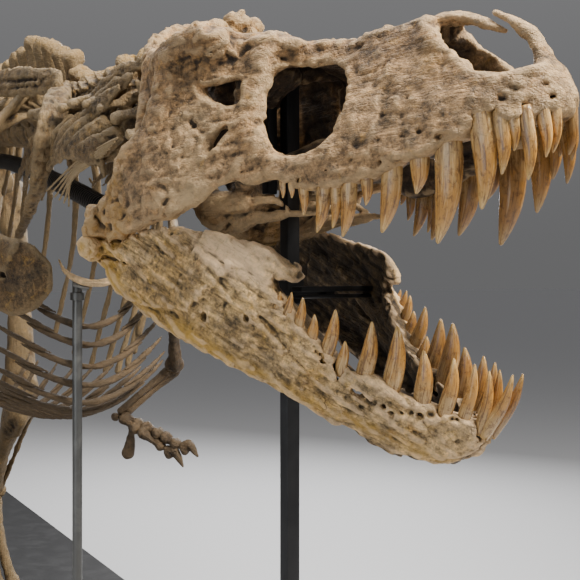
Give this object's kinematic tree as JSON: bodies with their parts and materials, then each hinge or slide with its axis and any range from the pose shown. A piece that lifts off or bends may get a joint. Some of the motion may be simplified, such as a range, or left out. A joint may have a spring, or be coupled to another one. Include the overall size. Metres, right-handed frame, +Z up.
{
  "type": "mounted tyrannosaur skeleton fossil",
  "caption": "Life-size skeleton of a large meat-eating dinosaur, striding with its jaws open, on steel posts over a low dark display slab.",
  "frame": {"origin": "middle of the underside of the display slab, below the hip joints", "axes": "+X forward along the trunk, +Y to the animal's left, +Z up"},
  "size_m": [10.9459, 2.4, 3.3323],
  "materials": {
    "skull_bone": "matte",
    "jaw_bone": "matte",
    "body_bone": "matte",
    "dark_bone": "matte",
    "tooth_enamel": "gloss",
    "base_board": "matte",
    "black_steel": "satin",
    "grey_steel": "satin"
  },
  "bodies": {
    "root": {"cranium": "skull_bone", "mandible_left": "jaw_bone", "mandible_right": "jaw_bone", "neck_front": "body_bone", "neck_back": "body_bone", "trunk_left": "body_bone", "trunk_right": "body_bone", "gastralia": "dark_bone", "furcula": "dark_bone", "scapulocoracoid_left": "body_bone", "scapulocoracoid_right": "body_bone", "humerus_left": "dark_bone", "humerus_right": "dark_bone", "forearm_left": "dark_bone", "forearm_right": "dark_bone", "hand_left": "dark_bone", "hand_right": "dark_bone", "ilium_left": "body_bone", "ilium_right": "body_bone", "pubes": "body_bone", "ischia": "body_bone", "femur_left": "body_bone", "femur_right": "body_bone", "shank_left": "body_bone", "shank_right": "body_bone", "metatarsus_left": "body_bone", "metatarsus_right": "body_bone", "toe_2_left": "dark_bone", "toe_3_left": "dark_bone", "toe_4_left": "dark_bone", "toe_2_right": "dark_bone", "toe_3_right": "dark_bone", "toe_4_right": "dark_bone", "sacrum": "body_bone", "tail_base": "body_bone", "tail_middle": "body_bone", "tail_tip": "body_bone", "stand_base": "base_board", "stand_chest_post": "grey_steel", "stand_skull_post": "black_steel", "stand_hip_post": "black_steel", "stand_tail_post": "black_steel"}
  },
  "joints": []
}
